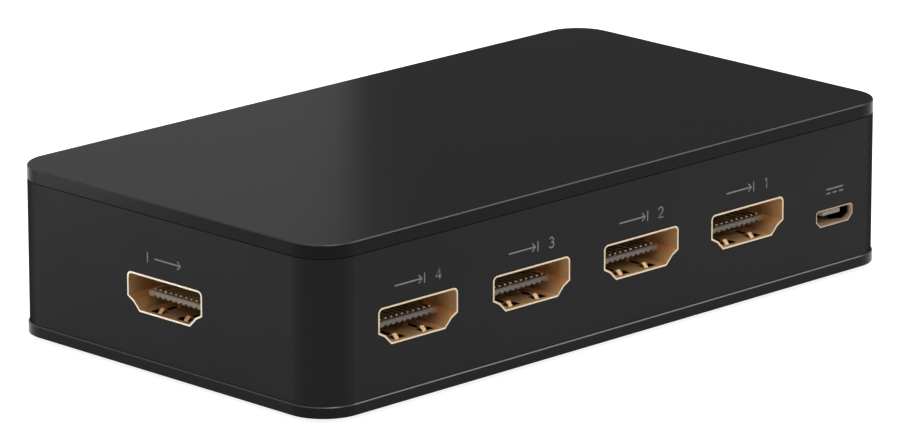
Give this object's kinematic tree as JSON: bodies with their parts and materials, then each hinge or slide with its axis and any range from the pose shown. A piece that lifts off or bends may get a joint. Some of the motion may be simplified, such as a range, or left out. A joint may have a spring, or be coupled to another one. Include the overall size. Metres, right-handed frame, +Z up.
{
  "type": "hdmi switch box",
  "caption": "Low black box with a row of video input sockets and a power inlet on one long side, a video output on a short side, and a select button with indicators behind.",
  "frame": {"origin": "middle of the footprint, at the undersides of the feet", "axes": "+Z up, +X along the long side; the inputs and the power inlet face -Y, the output faces -X, the controls face +Y"},
  "size_m": [0.1096, 0.0614, 0.024],
  "materials": {
    "case_plastic": "satin",
    "rubber": "matt",
    "screw_steel": "plated",
    "board": "satin",
    "gold": "plated",
    "insulator": "satin",
    "button_plastic": "satin",
    "plunger_plastic": "satin",
    "chip_plastic": "satin",
    "tinned_steel": "tinned",
    "clear_plastic": "clear",
    "lamp": "gloss",
    "window_plastic": "gloss",
    "can_metal": "bright",
    "ceramic": "matt"
  },
  "bodies": {
    "case": {"top_cover": "case_plastic", "housing_frame": "case_plastic", "base_plate": "case_plastic", "rubber_feet": "rubber", "case_screws": "screw_steel", "board_screws": "screw_steel", "main_board": "board", "input_1_shell": "gold", "input_1_contacts": "gold", "input_2_shell": "gold", "input_2_contacts": "gold", "input_3_shell": "gold", "input_3_contacts": "gold", "input_4_shell": "gold", "input_4_contacts": "gold", "output_shell": "gold", "output_contacts": "gold", "power_shell": "gold", "power_contacts": "gold", "input_1_insulator": "insulator", "input_2_insulator": "insulator", "input_3_insulator": "insulator", "input_4_insulator": "insulator", "output_insulator": "insulator", "power_insulator": "insulator", "switch_body": "chip_plastic", "remote_receiver": "chip_plastic", "switch_chip": "chip_plastic", "control_chip": "chip_plastic", "voltage_regulator": "chip_plastic", "storage_coil": "chip_plastic", "surge_arrays": "chip_plastic", "chip_resistors": "chip_plastic", "switch_bracket": "tinned_steel", "switch_terminals": "tinned_steel", "remote_leads": "tinned_steel", "clock_crystal": "tinned_steel", "light_guide": "clear_plastic", "indicator_lamps": "lamp", "remote_window": "window_plastic", "bulk_capacitors": "can_metal", "chip_capacitors": "ceramic"},
    "select": {"select_button": "button_plastic", "switch_plunger": "plunger_plastic"}
  },
  "joints": [
    {"name": "select_press", "type": "slide", "parent": "case", "child": "select", "axis": [0, -1, 0], "range_m": [0, 0.0003], "stiffness_N_per_m": 3000, "springref_m": -0.00015}
  ]
}
